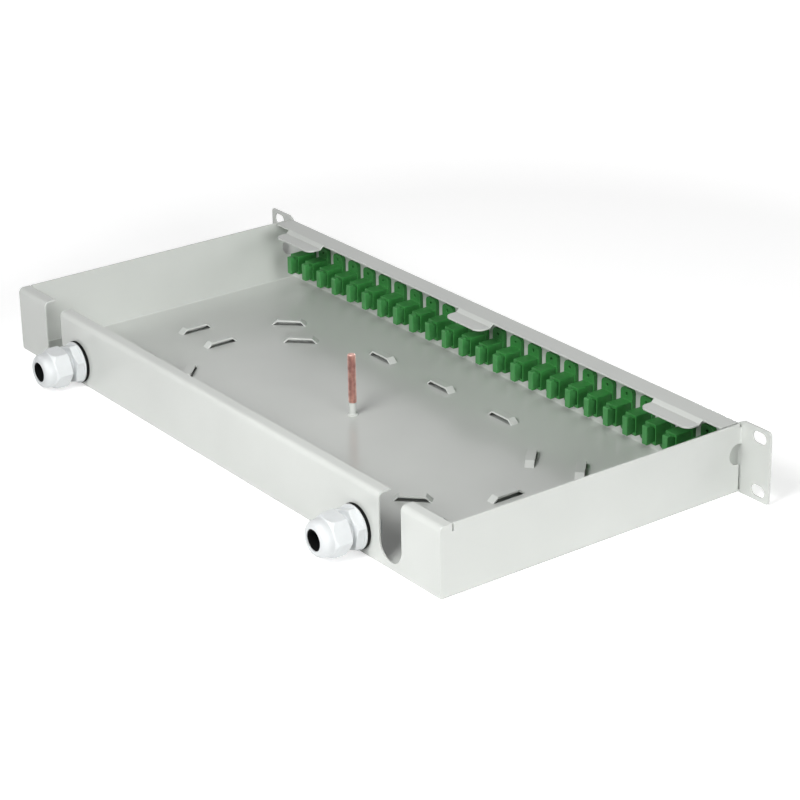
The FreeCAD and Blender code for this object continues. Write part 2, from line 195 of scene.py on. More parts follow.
def threaded(name, crest, depth, pitch, y0, y1, x, z, steps):
    """A threaded rod along Y between y0 and y1, with the radius of its crests, all in mm."""
    bpy.ops.object.select_all(action="DESELECT")
    bpy.ops.mesh.primitive_plane_add(size=pitch * MM)
    obj = bpy.context.object
    obj.name = name
    edit(obj)
    bpy.ops.mesh.merge(type="CENTER")
    bpy.ops.transform.translate(value=((crest - depth) * MM, (y0 - LEAD * pitch) * MM, 0))
    flat, flank = pitch * CREST_SHARE, pitch * FLANK_SHARE
    for out, up in ((0, flat), (depth, flank), (0, flat), (-depth, flank)):
        pull(out, up, 0)
    leave()
    helix = obj.modifiers.new("helix", "SCREW")
    helix.axis = "Y"
    helix.screw_offset = pitch * MM
    helix.iterations = math.ceil((y1 - y0) / pitch) + SPARE_TURNS
    helix.steps = helix.render_steps = steps
    helix.use_merge_vertices = True
    helix.merge_threshold = pitch * TURN_JOIN * MM
    bpy.ops.object.modifier_apply(modifier="helix")
    edit(obj)
    bpy.ops.mesh.remove_doubles(threshold=pitch * TURN_JOIN * MM)
    for y, way in ((y0, -1), (y1, 1)):
        bpy.ops.mesh.select_all(action="SELECT")
        bpy.ops.mesh.bisect(plane_co=(0, y * MM, 0), plane_no=(0, way, 0), use_fill=True,
                            clear_outer=True, threshold=CUT_LIMIT)
    bpy.ops.mesh.select_all(action="SELECT")
    bpy.ops.transform.translate(value=(x * MM, 0, z * MM))
    bpy.ops.mesh.normals_make_consistent(inside=False)
    leave()
    return obj


# %% [markdown]
# ## Finishing a shape
# Holes and joins are made with the Boolean modifier, which keeps a closed mesh closed. No moulded or
# painted edge is perfectly sharp, so most pieces then get a narrow bevel on their sharp edges. The bevel
# catches a line of light, and weighted normals keep the flat faces beside it looking flat. The last
# helpers here read places from the frame, and give a piece its finish and its place in it.

# %% Cutting, joining, softening and dressing
SHARP = 30.0                # degrees, an edge that turns more than this is bevelled
GENTLE = 45.0               # degrees, an edge that turns less than this is shaded smooth
SAME_PLACE = 0.001          # mm, points closer than this are one point
OVERCUT = 1.0               # mm that a cutting shape reaches past what it cuts


def combine(obj, other, operation):
    """Unite another mesh with the object, cut it away or keep what both share; delete the other."""
    only(obj)
    step = obj.modifiers.new("combine", "BOOLEAN")
    step.operation = operation
    step.solver = "EXACT"
    step.object = other
    bpy.ops.object.modifier_apply(modifier="combine")
    bpy.data.objects.remove(other)
    return obj


def shade(obj):
    """Shade smooth across gentle edges, with the large faces keeping their own direction."""
    only(obj)
    bpy.ops.object.shade_smooth_by_angle(angle=math.radians(GENTLE))
    obj.modifiers.new("normals", "WEIGHTED_NORMAL").keep_sharp = True
    bpy.ops.object.modifier_apply(modifier="normals")
    return obj


def soften(obj, width):
    """Bevel the sharp edges by a width in mm and shade the piece smooth."""
    only(obj)
    bevel = obj.modifiers.new("bevel", "BEVEL")
    bevel.width = width * MM
    bevel.segments = 2
    bevel.limit_method = "ANGLE"
    bevel.angle_limit = math.radians(SHARP)
    bevel.use_clamp_overlap = False
    bpy.ops.object.modifier_apply(modifier="bevel")
    return shade(obj)


def round_edges(width, segments):
    """In edit mode, bevel the selected edges by a width in mm."""
    bpy.ops.mesh.bevel(offset=width * MM, segments=segments, affect="EDGES")


def joined(name, pieces):
    """Several meshes as one object."""
    bpy.ops.object.select_all(action="DESELECT")
    for piece in pieces:
        piece.select_set(True)
    bpy.context.view_layer.objects.active = pieces[0]
    bpy.ops.object.join()
    pieces[0].name = name
    return pieces[0]


def copied(obj, name, x):
    """A copy with its own mesh, moved along X by a distance in mm."""
    copy = bpy.data.objects.new(name, obj.data.copy())
    bpy.context.collection.objects.link(copy)
    edit(copy)
    bpy.ops.transform.translate(value=(x * MM, 0, 0))
    leave()
    return copy


def node_box(name):
    """The low and high corners of a CAD node in mm."""
    return [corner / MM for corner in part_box(name)]


def node_middle(name):
    """The middle of a CAD node in mm."""
    return [(a + b) / 2 / MM for a, b in zip(*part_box(name))]


def dress(obj, body, slot, finish, *stands_for):
    """Give a piece its finish and its place in the frame."""
    obj.data.materials.clear()
    obj.data.materials.append(finish)
    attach(obj, body)
    if stands_for:
        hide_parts(*stands_for)
    print(obj.name, "faces:", len(obj.data.polygons))


# %% [markdown]
# ## Materials from nodes
# Every finish is built from nodes on Object coordinates, so a pattern sits still on its piece and has a
# real size. One function adds a node of any kind, sets it and links it. Colours are written as they look
# on screen and turned to the linear values that the renderer works in. A finish is then a noise that
# moves the colour between two tones, the gloss between two values, or the skin up and down.

# %% Colour and node helpers


def colour(code):
    """An sRGB hex code as a linear colour with alpha."""
    parts = [int(code[k:k + 2], 16) / 255 for k in (1, 3, 5)]
    return [v / 12.92 if v <= 0.04045 else ((v + 0.055) / 1.055) ** 2.4 for v in parts] + [1.0]


def add(tree, kind, inputs, **settings):
    """Add a node, set its properties, and set or link its inputs."""
    made = tree.nodes.new("ShaderNode" + kind)
    for name, value in settings.items():
        setattr(made, name, value)
    for name, value in inputs.items():
        if isinstance(value, bpy.types.NodeSocket):
            tree.links.new(value, made.inputs[name])
        else:
            made.inputs[name].default_value = value
    return made


def finish(name, **sockets):
    """A new material, with its shader's plain values set on the shader itself."""
    made = bpy.data.materials.new(name)
    made.use_nodes = True
    shader = made.node_tree.nodes["Principled BSDF"]
    for socket, value in sockets.items():
        shader.inputs[socket.replace("_", " ")].default_value = value
    print("made", name)
    return made, made.node_tree, shader


def noise(tree, size_mm, detail, roughness=0.5):
    """A noise whose features are about a size, fixed to the piece."""
    where = add(tree, "TexCoord", {}).outputs["Object"]
    return add(tree, "TexNoise", {"Vector": where, "Scale": 1 / (size_mm * MM), "Detail": detail,
                                  "Roughness": roughness}).outputs["Fac"]


def two_tones(tree, shader, value, first, second, spread):
    """Move the base colour from one tone to another as a noise passes its middle."""
    ramp = add(tree, "ValToRGB", {"Fac": value})
    ends = ramp.color_ramp.elements
    ends[0].position, ends[1].position = 0.5 - spread, 0.5 + spread
    ends[0].color, ends[1].color = colour(first), colour(second)
    tree.links.new(ramp.outputs["Color"], shader.inputs["Base Color"])


def uneven_gloss(tree, shader, value, low, high):
    """Move the roughness between two values with a noise."""
    gloss = add(tree, "MapRange", {"Value": value, "To Min": low, "To Max": high})
    tree.links.new(gloss.outputs["Result"], shader.inputs["Roughness"])


def raised_skin(tree, shader, value, strength, height_mm):
    """Move the surface up and down with a noise."""
    bump = add(tree, "Bump", {"Height": value, "Strength": strength, "Distance": height_mm * MM})
    tree.links.new(bump.outputs["Normal"], shader.inputs["Normal"])


# %% [markdown]
# ## Powder-coated steel
# The tray is sheet steel under a baked light-grey powder coat. Powder melts into a skin with a slight
# orange peel, about a millimetre from bump to bump, and a satin gloss: the floor mirrors the green
# adapters as soft streaks. A plain grey shader would miss both, so the skin is a very low bump and the
# gloss varies a little where the coat is thicker.

# %% Light grey powder coat
PEEL = 1.6                  # mm from bump to bump, coarser than the real 1 mm so that it shows
PEEL_HEIGHT = 0.03          # mm
COAT_DRIFT = 70.0           # mm, slow changes of tone over a large panel

powder_coat, tree, shader = finish("light grey powder coat on steel", IOR=1.5)
drift = noise(tree, COAT_DRIFT, detail=2.0)
two_tones(tree, shader, drift, "#CACDC9", "#D0D3CF", spread=0.2)
uneven_gloss(tree, shader, drift, low=0.17, high=0.24)
peel = noise(tree, PEEL, detail=1.0, roughness=0.4)
raised_skin(tree, shader, peel, strength=0.12, height_mm=PEEL_HEIGHT)

# %% [markdown]
# ## Green mouldings
# Adapters for angled connectors are moulded in green PBT, a hard polyester with a fine spark-eroded
# grain. Their dust caps are a softer polyethylene in a paler green. Both are one recipe with two sets of
# values, because only the colour and the gloss differ.

# %% Adapter and cap plastic
GRAIN = 0.5                 # mm, coarser than the real 0.1 mm so that it shows
GRAIN_HEIGHT = 0.02         # mm
FLOW_MARKS = 9.0            # mm, slow changes of tone where the plastic flowed in the mould
GLOSS_RANGE = 0.05          # roughness to either side of a moulding's own


def moulded(name, deep, pale, rough, sheen=0.5):
    """A moulded plastic: slow flow marks in the colour, and a fine grain in the skin."""
    made, tree, shader = finish(name, IOR=1.5, Specular_IOR_Level=sheen)
    flow = noise(tree, FLOW_MARKS, detail=2.0)
    two_tones(tree, shader, flow, deep, pale, spread=0.15)
    grain = noise(tree, GRAIN, detail=2.0)
    uneven_gloss(tree, shader, grain, rough - GLOSS_RANGE, rough + GLOSS_RANGE)
    raised_skin(tree, shader, grain, strength=0.15, height_mm=GRAIN_HEIGHT)
    return made


adapter_green = moulded("green PBT, spark-eroded", "#317C39", "#37863F", 0.42)
cap_green = moulded("green polyethylene", "#3F8847", "#45904D", 0.38)

# %% [markdown]
# ## Gland plastics and rubber
# Cable glands are moulded in white polyamide, smooth and slightly waxy, with a black nitrile gasket and
# seal. They use the same recipe as the green mouldings, with their own values; rubber has a dull skin of
# fine pores that mirrors almost nothing, so its sheen is turned down.

# %% White polyamide and black rubber
polyamide = moulded("white polyamide", "#D1D4D5", "#D6D9DA", 0.36)
rubber = moulded("black nitrile rubber", "#070808", "#0B0C0C", 0.75, sheen=0.15)

# %% [markdown]
# ## Plated metals
# The stud's thread is copper-plated steel that has dulled in places; the adapter screws are zinc-plated.
# A metal shows mostly what it reflects, so its colour sits in the base colour with full metallic, and the
# dull patches are changes of roughness and tone.

# %% Copper and zinc plate


def plated(name, bright, dull, patch_mm, rough_bright, rough_dull):
    """A plated metal with duller patches."""
    made, tree, shader = finish(name, Metallic=1.0)
    patch = noise(tree, patch_mm, detail=3.0)
    two_tones(tree, shader, patch, bright, dull, spread=0.15)
    uneven_gloss(tree, shader, patch, rough_bright, rough_dull)
    return made


copper = plated("copper-plated steel, dulled", "#D6AEA2", "#AE8680", 4.0, 0.32, 0.5)
zinc = plated("zinc-plated steel", "#C9CBCC", "#B2B4B6", 2.0, 0.28, 0.4)

# %% [markdown]
# ## The folded tray
# The tray is one sheet, cut and folded: front panel with rack ears, floor, sides, rear wall, flanges and
# lanced bridges. It could be folded up again from a plane, but the CAD solid already has every fold in
# its place, so a copy of its mesh is merged, its flat faces are cleaned, and its cut edges are rounded as
# the powder coat rounds them. Where the front flange's fold ends in the plain edge of the panel the bevel
# overshoots, so the points that stand above the ears are pressed back to the edge.

# %% Tray
COAT_EDGE = 0.22            # mm, the rounding of a cut edge under the coat
FLAT = 0.5                  # degrees, faces within this angle are one flat face
EAR_RISE = 1.95             # mm, the ears stand this far above the walls

tray_low, tray_high = node_box("chassis")
wall_top = tray_high.z - EAR_RISE
tray = bpy.data.objects.new("folded_tray", nodes["chassis"].data.copy())
bpy.context.collection.objects.link(tray)
edit(tray)
bpy.ops.mesh.customdata_custom_splitnormals_clear()
bpy.ops.mesh.remove_doubles(threshold=SAME_PLACE * MM)
bpy.ops.mesh.dissolve_limited(angle_limit=math.radians(FLAT), delimit={"NORMAL"})
leave()
soften(tray, COAT_EDGE)
edit(tray)
pick_points(lambda place: place.z > tray_high.z + SLACK)
bpy.ops.transform.resize(value=(1, 1, 0), center_override=(0, 0, wall_top * MM))
leave()
shade(tray)
dress(tray, "panel", "powder_coat", powder_coat, "chassis")

# %% [markdown]
# ## Closed corners
# Where two walls of a folded tray only meet, the joint is welded. At the rear the weld is ground to a
# crisp upright edge, and at the front a small bead runs from each side wall into its rack ear, above the
# notch. The solid is plainly rounded at the rear and has an open seam at the front. Each ground corner is
# cut from a block with the tray's own folds by a slanting plane, so close to the edge that it stays within
# the sheet. Each bead is a block whose free edge is bevelled hollow.

# %% Ground corners and ear beads
SHEET = 1.2
EAR_WIDTH = 22.8
FLOOR_FOLD = 2.1            # outside radius of the folds along the floor
LIP_FOLD = 3.4              # outside radius of the rear lip's fold
GROUND_EDGE = 0.35          # rounding that the grinding leaves
PROUD = 0.03                # how far a weld stands above the sheet, so that no two faces coincide
BEAD = 1.1                  # reach of a bead along the wall and along the ear
BEAD_SPAN = (7.9, 17.7)     # heights of a bead's ends: the notch, and the open corner of the top fold
HOLLOW = 0.0625             # bevel profile of a curve that runs out along both faces
REACH = 20.0                # size of the block that a ground corner is cut from

tray_side = tray_high.x - EAR_WIDTH
tray_rear = tray_high.y


def between(name, side, x0, y0, z0, x1, y1, z1):
    """A block on one side of the tray; side is +1 or -1."""
    near, far = sorted((side * x0, side * x1))
    return block(name, (near, y0, z0), (far, y1, z1))


def ground_corner(side):
    """The crisp edge of one rear corner."""
    obj = between("ground_corner", side, tray_side - REACH, tray_rear - REACH, tray_low.z - PROUD,
                  tray_side + PROUD, tray_rear + PROUD, wall_top + PROUD)
    edit(obj)
    pick_edges(lambda middle, run: middle.z < tray_low.z
               and (middle.y > tray_rear or middle.x * side > tray_side))
    round_edges(FLOOR_FOLD + PROUD, segments=6)
    pick_edges(lambda middle, run: middle.z > wall_top and middle.y > tray_rear)
    round_edges(LIP_FOLD + PROUD, segments=10)
    leave()
    soften(obj, GROUND_EDGE)
    edit(obj)
    bpy.ops.mesh.bisect(plane_co=(side * tray_side * MM, (tray_rear - FLOOR_FOLD) * MM, 0),
                        plane_no=(side, 1, 0), use_fill=True, clear_inner=True, threshold=CUT_LIMIT)
    leave()
    return shade(obj)


def ear_bead(side):
    """The hollow bead between one side wall and its ear."""
    obj = between("ear_bead", side, tray_side - SHEET + PROUD, -PROUD, BEAD_SPAN[0],
                  tray_side + BEAD, BEAD, BEAD_SPAN[1])
    edit(obj)
    pick_edges(lambda middle, run: abs(run.z) > ALONG and middle.y > 0 and middle.x * side > tray_side)
    bpy.ops.mesh.bevel(offset=BEAD * MM, segments=8, profile=HOLLOW, affect="EDGES")
    leave()
    return shade(obj)


for name, make in (("ground_corners", ground_corner), ("ear_beads", ear_bead)):
    dress(joined(name, [make(side) for side in (-1, 1)]), "panel", "powder_coat", powder_coat)

# %% [markdown]
# ## Adapter
# A simplex adapter is a rectangular through housing with a connector mouth at each end and a flange that
# screws to the panel. The housing is a cube with its long edges bevelled and a mouth cut into each end.
# The mouths could be inset and pushed in, but a cutting block says their width, height and depth directly,
# so they are cut by Boolean. The flange is a second cube with its corners rounded and two screw holes
# through its ears, and the two are united. One adapter is modelled where the first one sits.

# %% One adapter
HOUSING_WIDTH = 9.0
HOUSING_HEIGHT = 12.6
HOUSING_EDGE = 0.6
MOUTH_WIDTH = 7.4
MOUTH_HEIGHT = 9.0
MOUTH_DEPTH = 11.0
FLANGE_DEPTH = 2.7
FLANGE_CORNER = 3.0
SCREW_REACH = 10.0          # adapter's middle to a screw's axis
SCREW_HOLE = 0.95           # radius
MOULDED_EDGE = 0.25
SMALL_ROUND = 20            # sides of a small circle

low, high = node_box("adapter_01")
adapter_middle = (low + high) / 2
ax, az = adapter_middle.x, adapter_middle.z


def centred(name, width, height, y0, y1, z=az):
    """A block about a line along Y above or below the first adapter's middle."""
    return block(name, (ax - width / 2, y0, z - height / 2), (ax + width / 2, y1, z + height / 2))


def adapter_housing():
    """The housing with a mouth at each end."""
    obj = centred("housing", HOUSING_WIDTH, HOUSING_HEIGHT, low.y, high.y)
    edit(obj)
    pick_edges(lambda middle, run: abs(run.y) > ALONG)
    round_edges(HOUSING_EDGE, segments=3)
    leave()
    for y0, y1 in ((low.y - OVERCUT, low.y + MOUTH_DEPTH), (high.y - MOUTH_DEPTH, high.y + OVERCUT)):
        combine(obj, centred("mouth", MOUTH_WIDTH, MOUTH_HEIGHT, y0, y1), "DIFFERENCE")
    return obj


def adapter_flange():
    """The flange with rounded ears and two screw holes."""
    obj = block("flange", (low.x, 0, low.z), (high.x, FLANGE_DEPTH, high.z))
    edit(obj)
    pick_edges(lambda middle, run: abs(run.y) > ALONG)
    round_edges(FLANGE_CORNER, segments=6)
    leave()
    profile = [(SCREW_HOLE, -OVERCUT), (SCREW_HOLE, FLANGE_DEPTH + OVERCUT)]
    for side in (-1, 1):
        hole = turned("hole", profile, ax, az + side * SCREW_REACH, SMALL_ROUND)
        combine(obj, hole, "DIFFERENCE")
    return obj


adapter = combine(adapter_housing(), adapter_flange(), "UNION")
adapter.name = "adapter_housing_01"
soften(adapter, MOULDED_EDGE)
print("first adapter at x", round(ax, 2), "faces:", len(adapter.data.polygons))

# %% [markdown]
# ## Row of adapters
# Twenty-four adapters stand side by side. An array modifier would space them evenly by itself, but each
# one stands for a CAD node of its own, so each is a copy moved to that node's middle.

# %% The row of adapters
adapter_nodes = sorted(name for name in nodes if name.startswith("adapter_"))
places = [node_middle(name)[0] for name in adapter_nodes]
row = [adapter]
for name, x in zip(adapter_nodes[1:], places[1:]):
    row.append(copied(adapter, "adapter_housing_" + name[-2:], x - ax))
for name, piece in zip(adapter_nodes, row):
    dress(piece, "panel", "green_plastic", adapter_green, name)

# %% [markdown]
# ## Dust caps
# Each mouth is closed by a soft cap: a plug below the rim, a neck, and a tall fin to pull it out by, with
# a dark groove between the fin and the rim. The plug starts as a cube; its outer face is scaled to the
# fin's width and extruded as the neck, and the fin is drawn out taller than the mouth. The cap is modelled
# once for the rear and once, facing the other way, for the front.

# %% One dust cap
PLUG_CLEARANCE = 0.1
PLUG_RECESS = 4.0
PLUG_LENGTH = 6.0
FIN_WIDTH = 4.3
FIN_HEIGHT = 11.4
FIN_LENGTH = 4.6            # from the rim to the fin's end
FIN_GAP = 1.6               # open groove between the rim and the fin
FIN_EDGE = 0.5
PLUG_WIDTH = MOUTH_WIDTH - 2 * PLUG_CLEARANCE
PLUG_HEIGHT = MOUTH_HEIGHT - 2 * PLUG_CLEARANCE


def new_ring(x, z, y):
    """In edit mode, start a new ring on the selected face, scaled across the first adapter's axis."""
    pull(0, 0, 0)
    bpy.ops.transform.resize(value=(x, 1, z), center_override=(ax * MM, y * MM, az * MM))


def dust_cap(name, rim, out):
    """A cap in the first adapter's mouth; out is +1 at the rear and -1 at the front."""
    face = rim - out * PLUG_RECESS
    fin_start = rim + out * FIN_GAP
    obj = centred(name, PLUG_WIDTH, PLUG_HEIGHT, *sorted((face - out * PLUG_LENGTH, face)))
    edit(obj)
    pick_faces(lambda middle, normal: normal.y * out > ALONG)
    new_ring(FIN_WIDTH / PLUG_WIDTH, 1, face)
    pull(0, fin_start - face, 0)
    new_ring(1, FIN_HEIGHT / PLUG_HEIGHT, fin_start)
    pull(0, out * (FIN_LENGTH - FIN_GAP), 0)
    bpy.ops.mesh.select_all(action="SELECT")
    bpy.ops.mesh.remove_doubles(threshold=SAME_PLACE * MM)
    pick_edges(lambda middle, run: (middle.y - fin_start) * out > SLACK)
    round_edges(FIN_EDGE, segments=3)
    leave()
    return shade(obj)


for group, rim, out in (("rear_dust_caps", high.y, 1), ("front_dust_caps", low.y, -1)):
    first_cap = dust_cap(group, rim, out)
    caps = [first_cap] + [copied(first_cap, "cap", x - ax) for x in places[1:]]
    dress(joined(group + "_set", caps), "panel", "green_plastic", cap_green, group)

# %% [markdown]
# ## Adapter screws
# Two small pan-head screws hold each flange from the front of the panel. A head is a turned button with a
# cross recess. It is far too small to see well from a distance, so it stays at little more than a hundred
# faces: the button is a lathe shape and the recess is two crossed slots cut by Boolean.

# %% Screws
HEAD_RADIUS = 1.9
HEAD_SHOULDER = 1.615       # radius of the shoulder between the edge and the crown
HEAD_CROWN = 0.95           # radius of the flat crown
HEAD_EDGE = 0.55            # height of the upright edge
HEAD_RISE = 0.935           # height of the shoulder
HEAD_HEIGHT = 1.1
SHANK_RADIUS = 0.95
CROSS_LENGTH = 1.9
CROSS_WIDTH = 0.45
CROSS_DEPTH = 0.5
TIP_BELOW = 1.8             # the screws end this far below the flange's rear face
front = -SHEET              # the front face of the panel


def screw(z):
    """One screw whose head bears on the front of the panel at the first adapter."""
    crown = front - HEAD_HEIGHT
    profile = [(SHANK_RADIUS, FLANGE_DEPTH - TIP_BELOW), (SHANK_RADIUS, front), (HEAD_RADIUS, front),
               (HEAD_RADIUS, front - HEAD_EDGE), (HEAD_SHOULDER, front - HEAD_RISE), (HEAD_CROWN, crown)]
    obj = turned("screw", profile, ax, z, SMALL_ROUND)
    for across, up in ((CROSS_LENGTH, CROSS_WIDTH), (CROSS_WIDTH, CROSS_LENGTH)):
        slot = centred("slot", across, up, crown - OVERCUT, crown + CROSS_DEPTH, z)
        combine(obj, slot, "DIFFERENCE")
    return shade(obj)


screws = []
for side in (-1, 1):
    first_screw = screw(az + side * SCREW_REACH)
    screws += [first_screw] + [copied(first_screw, "screw", x - ax) for x in places[1:]]
dress(joined("adapter_screws", screws), "panel", "copper_plate", zinc)

# %% [markdown]
# ## Cable glands
# A gland has a body with a hexagon and a threaded shank through the rear wall, a gasket outside, a lock
# nut inside, and a dome nut that squeezes a rubber seal onto the cable. They could be placed by numbers
# of their own, but then a change in the CAD would leave them behind. So the axes and the ends of the pieces
# come from the boxes of the CAD nodes, and only radii, widths and the steps between are written here.

# %% Gland places
GLAND_THREAD = 1.5          # pitch of both threads
THREAD_DEPTH = 0.8
THREAD_STEPS = 48           # points in one turn
SHANK = 10.0                # radius of the shank's crests
NECK = 9.0                  # radius of the neck's crests
BORE = 7.0
BODY_HEX = 22.0
BODY_HEX_LENGTH = 6.0
BODY_TURN = 43.0            # degrees from +X to a corner
COLLAR = 12.8               # radius of the round foot under the hexagon
COLLAR_LENGTH = 1.2
LOCK_HEX = 24.0
LOCK_CLEARANCE = 0.1        # between the lock nut and the shank's crests
HEX_EDGE = 0.6              # rounding along the hexagons' corners
ROUND = 64                  # sides of a large circle

gasket_low, gasket_high = node_box("gland_gaskets")
lock_low, lock_high = node_box("gland_lock_nuts")
body_low, body_high = node_box("gland_bodies")
nut_low, nut_high = node_box("gland_nut_left")
seal_low, seal_high = node_box("gland_seal_left")
gland_x = [node_middle("gland_nut_" + side)[0] for side in ("left", "right")]
gland_z = node_middle("gland_nut_right")[2]
hex_end = gasket_high.y + BODY_HEX_LENGTH
print("gland axes at x", gland_x, "z", round(gland_z, 3))

# %% [markdown]
# ## Fixed pieces of the glands
# The bodies and lock nuts are hexagons with their corners turned down at one end. A hexagon with rounded
# corners is intersected with a turned shape, which leaves the curved lines that a plain bevel cannot. The
# threads are real helices, because the one inside the tray shows from above and the one behind the dome
# nut shows in the photograph's gap.

# %% Bodies, lock nuts and gaskets
CONE_INSET = 0.3            # the end cone starts this far inside the flats
CONE_SLOPE = 0.4            # its length for each millimetre of radius
CLEAR = 0.65                # share of the width across flats that clears a hexagon's corners
SEATED = 0.5                # a united piece starts this far from its neighbour's end: no two faces coincide
SHANK_SEATED = 0.8          # how far the shank reaches into the collar
BODY_EDGE = 0.2
LOCK_EDGE = 0.3
GASKET_EDGE = 0.4


def six_sided(name, flats, outline, x, turn):
    """A hexagon bar with rounded corners, turned down to an outline of (radius, y) points."""
    corner = flats / 2 / math.cos(math.pi / 6)
    ends = outline[0][1], outline[-1][1]
    obj = turned(name, [(corner, y) for y in ends], x, gland_z, 6, turn=turn)
    edit(obj)
    pick_edges(lambda middle, run: abs(run.y) > ALONG)
    round_edges(HEX_EDGE, segments=3)
    leave()
    return combine(obj, turned("turning", outline, x, gland_z, ROUND), "INTERSECT")


def end_cone(flats, y, way):
    """The outline that turns the corners down at one end.

    Way is +1 where the bar starts and -1 where it ends.
    """
    inner, outer = flats / 2 - CONE_INSET, CLEAR * flats
    points = [(inner, y), (outer, y + way * CONE_SLOPE * (outer - inner))]
    return points if way > 0 else points[::-1]


def bored(obj, radius, y0, y1, x):
    """Cut a round hole through a piece along the gland's axis."""
    profile = [(radius, y0 - OVERCUT), (radius, y1 + OVERCUT)]
    return combine(obj, turned("bore", profile, x, gland_z, ROUND), "DIFFERENCE")


def gland_body(x):
    """The fixed half of a gland: threaded shank, collar, hexagon and threaded neck, with one bore."""
    foot = gasket_high.y
    outline = [(CLEAR * BODY_HEX, foot + SEATED)] + end_cone(BODY_HEX, hex_end, -1)
    obj = six_sided("gland_body", BODY_HEX, outline, x, BODY_TURN)
    collar = turned("collar", [(COLLAR, foot), (COLLAR, foot + COLLAR_LENGTH)], x, gland_z, ROUND)
    shank = threaded("shank", SHANK, THREAD_DEPTH, GLAND_THREAD, body_low.y, foot + SHANK_SEATED,
                     x, gland_z, THREAD_STEPS)
    neck = threaded("neck", NECK, THREAD_DEPTH, GLAND_THREAD, hex_end - SEATED, body_high.y,
                    x, gland_z, THREAD_STEPS)
    for piece in (collar, shank, neck):
        combine(obj, piece, "UNION")
    return soften(bored(obj, BORE, body_low.y, body_high.y, x), BODY_EDGE)


def gland_lock_nut(x):
    """The thin nut inside the tray."""
    outline = end_cone(LOCK_HEX, lock_low.y, 1) + [(CLEAR * LOCK_HEX, lock_high.y)]
    obj = six_sided("gland_lock_nut", LOCK_HEX, outline, x, 0)
    return soften(bored(obj, SHANK + LOCK_CLEARANCE, lock_low.y, lock_high.y, x), LOCK_EDGE)


def gland_gasket(x):
    """The flat ring under the collar."""
    outer = (gasket_high.z - gasket_low.z) / 2
    profile = [(SHANK, gasket_low.y), (outer, gasket_low.y), (outer, gasket_high.y), (SHANK, gasket_high.y)]
    return soften(turned("gland_gasket", profile, x, gland_z, ROUND, ring=True), GASKET_EDGE)


bodies = joined("gland_body_pair", [gland_body(x) for x in gland_x])
dress(bodies, "panel", "white_polyamide", polyamide, "gland_bodies")
lock_nuts = joined("gland_lock_nut_pair", [gland_lock_nut(x) for x in gland_x])
dress(lock_nuts, "panel", "white_polyamide", polyamide, "gland_lock_nuts")
gaskets = joined("gland_gasket_pair", [gland_gasket(x) for x in gland_x])
dress(gaskets, "panel", "black_rubber", rubber, "gland_gaskets")

# %% [markdown]
# ## Dome nut and seal
# The dome nut is a hexagon whose corners run down in a curve to a round dome, so that no step shows on
# its flats. A bevel could not follow that curve, so the hexagon is cut by a turned shape, as on a lathe.
# The dome is a quarter of an ellipse, from a short cylinder to a flat rim round the mouth. The seal is a
# rubber sleeve inside whose lip lines the mouth, which is why the opening looks black.

# %% Dome nuts and seals
NUT_HEX = 22.2
NUT_HEX_LENGTH = 9.7
NUT_TURN = 6.0              # degrees from +X to a corner
DOME = 10.7                 # radius of the dome's cylinder
DOME_STRAIGHT = 3.0         # its length beyond the hexagon
DOME_RIM = 7.6              # radius of the flat rim
DOME_STEPS = 8
MOUTH = 6.2
THREAD_ROOM = 9.25          # radius of the hollow round the neck's thread
SEAL_ROOM = 0.2             # between the seal and the shoulder in the nut
SEAL_BORE = 5.5
SEAL_EDGE = 0.08
LIP_RADIUS = 6.1
LIP_SET_BACK = 0.5
RUN_DOWN = ((13.4, -3.6), (12.85, -2.7), (12.45, -1.4), (12.0, -0.5),
            (11.55, 0.1), (11.1, 0.6), (10.8, 1.1), (10.6, 1.7))     # radius, and y from the hexagon's end
dome_start = nut_low.y + NUT_HEX_LENGTH


def dome_profile():
    """The outside of the dome, from inside the hexagon to the rim."""
    straight = dome_start + DOME_STRAIGHT
    points = [(DOME, nut_low.y + SEATED), (DOME, straight)]
    for k in range(1, DOME_STEPS + 1):
        angle = math.pi / 2 * k / DOME_STEPS
        points.append((DOME_RIM + (DOME - DOME_RIM) * math.cos(angle),
                       straight + (nut_high.y - straight) * math.sin(angle)))
    return points


def gland_nut(name, x):
    """The dome nut with its hollow for the neck, the seal and the cable."""
    outline = end_cone(NUT_HEX, nut_low.y, 1) + [(radius, dome_start + y) for radius, y in RUN_DOWN]
    obj = six_sided(name, NUT_HEX, outline, x, NUT_TURN)
    combine(obj, turned("dome", dome_profile(), x, gland_z, ROUND), "UNION")
    shoulder = seal_high.y + SEAL_ROOM
    hollow = [(THREAD_ROOM, nut_low.y - OVERCUT), (THREAD_ROOM, shoulder),
              (MOUTH, shoulder), (MOUTH, nut_high.y + OVERCUT)]
    combine(obj, turned("hollow", hollow, x, gland_z, ROUND), "DIFFERENCE")
    return shade(obj)


def gland_seal(name, x):
    """The seal: a thick ring with a thin lip that lines the nut's mouth."""
    outer = (seal_high.z - seal_low.z) / 2
    lip = nut_high.y - LIP_SET_BACK
    profile = [(SEAL_BORE, seal_low.y), (outer, seal_low.y), (outer, seal_high.y),
               (LIP_RADIUS, seal_high.y), (LIP_RADIUS, lip), (SEAL_BORE, lip)]
    return soften(turned(name, profile, x, gland_z, ROUND, ring=True), SEAL_EDGE)


for side, x in zip(("left", "right"), gland_x):
    nut, seal = "gland_nut_" + side, "gland_seal_" + side
    dress(gland_nut("dome_nut_" + side, x), nut, "white_polyamide", polyamide, nut)
    dress(gland_seal("cable_seal_" + side, x), seal, "black_rubber", rubber, seal)

# %% [markdown]
# ## Tray stud
# A stud stands in the middle of the floor to carry stacked splice trays. Its foot and plain shank were
# painted with the tray, and its thread above was masked and stays copper. The two are modelled lying
# along Y, where the lathe and thread helpers work, and are then stood upright.

